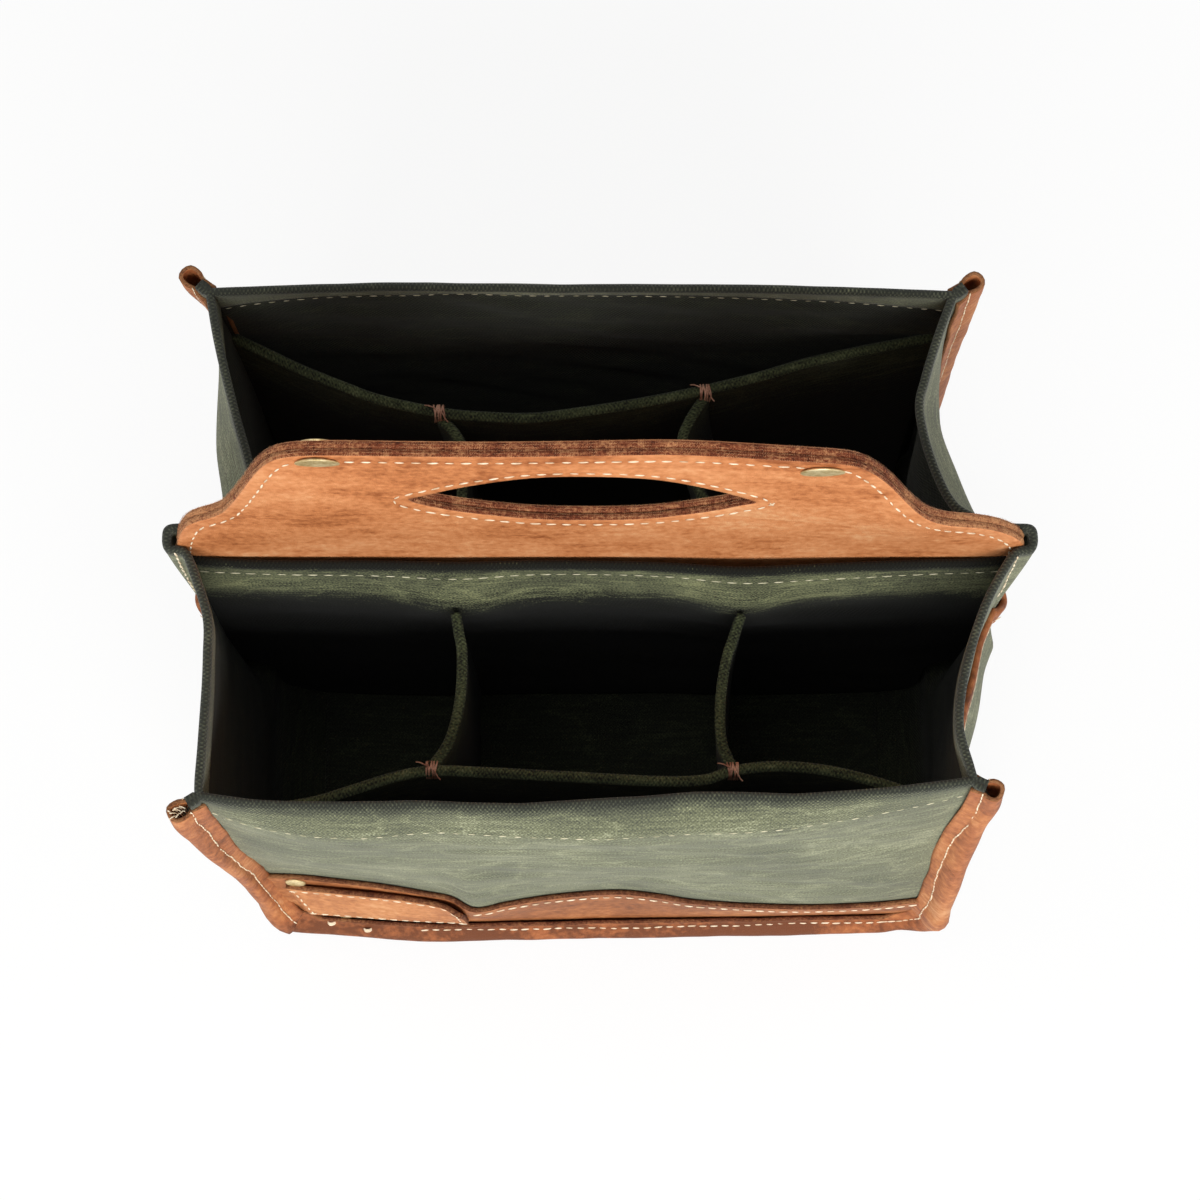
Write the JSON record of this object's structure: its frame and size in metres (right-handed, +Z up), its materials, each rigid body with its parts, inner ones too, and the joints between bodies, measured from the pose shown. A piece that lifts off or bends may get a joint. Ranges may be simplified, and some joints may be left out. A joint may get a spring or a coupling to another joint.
{
  "type": "six pack carrier",
  "caption": "Soft open-topped carrier of waxed canvas with leather bindings, a leather handle panel with a hand hole, and canvas cells for bottles or cans.",
  "frame": {"origin": "on the surface the bag stands on, below the middle of its bounding box", "axes": "+X from the bag's left to its right seen from the front, +Y from front to back, +Z up along the handle"},
  "size_m": [0.2786, 0.1894, 0.263],
  "materials": {
    "canvas": "waxed cotton canvas, matt, sage to olive green",
    "divider_canvas": "waxed cotton canvas folded double, darker olive",
    "handle_leather": "oiled pull-up leather, tan, with dark fibrous cut edges",
    "band_leather": "oiled tan leather, satin",
    "trim_leather": "thin oiled leather folded over an edge, satin, creased",
    "brass": "antique brass, worn satin",
    "bar_tack_thread": "waxed copper-pink thread"
  },
  "bodies": {
    "root": {"front_panel": "canvas", "back_panel": "canvas", "left_gusset": "canvas", "right_gusset": "canvas", "bottom_panel": "canvas", "divider_front_ply": "canvas", "divider_back_ply": "canvas", "left_side_pocket": "canvas", "right_side_pocket": "canvas", "front_cell_strip": "divider_canvas", "back_cell_strip": "divider_canvas", "front_left_cell_divider": "divider_canvas", "front_right_cell_divider": "divider_canvas", "back_left_cell_divider": "divider_canvas", "back_right_cell_divider": "divider_canvas", "handle_front_ply": "handle_leather", "handle_back_ply": "handle_leather", "front_base_band": "band_leather", "back_base_band": "band_leather", "opener_pocket": "band_leather", "left_pocket_trim": "trim_leather", "right_pocket_trim": "trim_leather", "front_binding": "trim_leather", "front_binding_left": "trim_leather", "back_binding": "trim_leather", "back_binding_right": "trim_leather", "handle_rivet_caps": "brass", "handle_rivet_backs": "brass", "opener_pocket_rivets": "brass", "cell_bar_tacks": "bar_tack_thread"}
  },
  "joints": []
}
